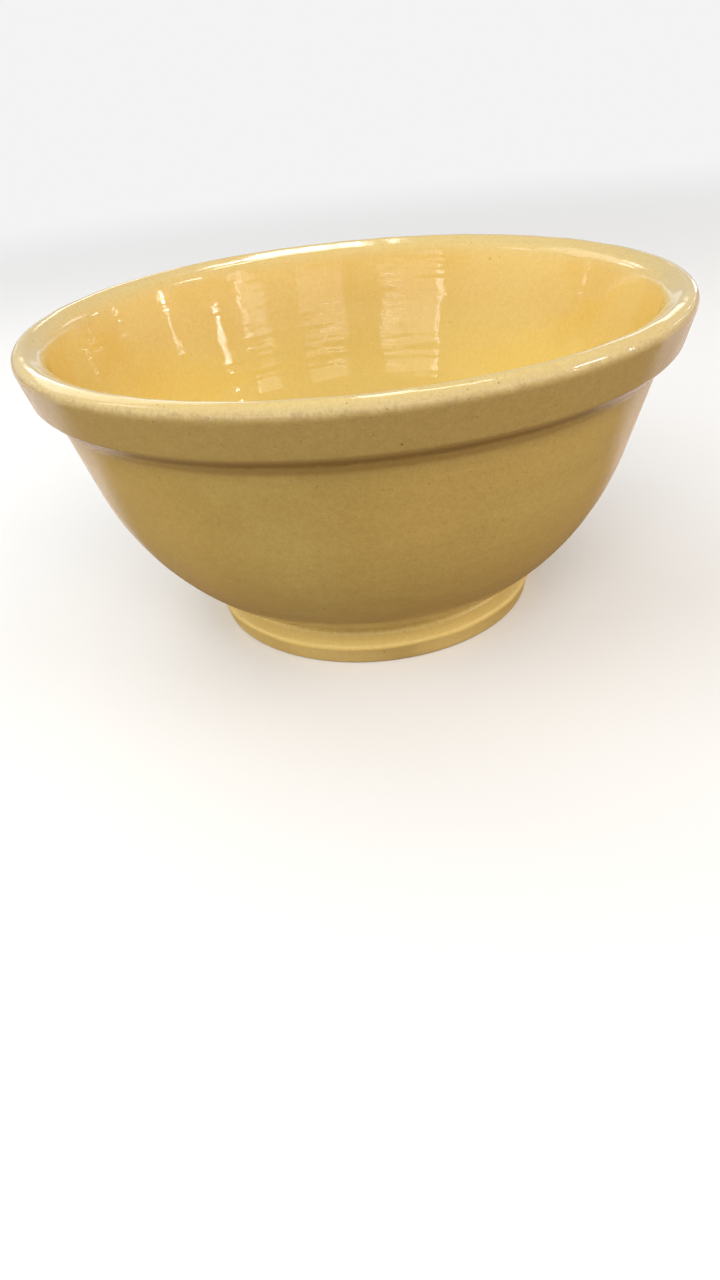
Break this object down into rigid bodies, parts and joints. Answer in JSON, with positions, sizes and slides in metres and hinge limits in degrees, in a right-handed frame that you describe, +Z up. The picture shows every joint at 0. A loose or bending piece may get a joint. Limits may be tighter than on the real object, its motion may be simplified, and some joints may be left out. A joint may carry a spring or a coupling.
{
  "type": "mixing bowl",
  "caption": "Large round footed stoneware mixing bowl with flared wall, heavy rolled collar at the rim, turned foot ring and fired glaze inside and out.",
  "frame": {"origin": "centre of the foot's resting face", "axes": "+Z up along the bowl's axis of revolution, from the foot to the mouth; X and Y are any two level directions, as the bowl is round"},
  "size_m": [0.3559, 0.356, 0.175],
  "materials": {
    "thrown_clay": "fired buff clay with fine iron specks, matte",
    "bare_clay": "unglazed turned clay band, matte, fine specks",
    "inner_glaze": "clear gloss glaze over warm yellow clay, soft waves and streaks",
    "rim_glaze": "pale gloss glaze, thin over the lip",
    "outer_glaze": "gloss glaze over speckled yellow clay, darker where it pools in the crease"
  },
  "bodies": {
    "root": {"bowl_body": "thrown_clay", "rim_collar": "thrown_clay", "foot_ring": "bare_clay", "inner_glaze": "inner_glaze", "rim_glaze": "rim_glaze", "outer_glaze": "outer_glaze"}
  },
  "joints": []
}
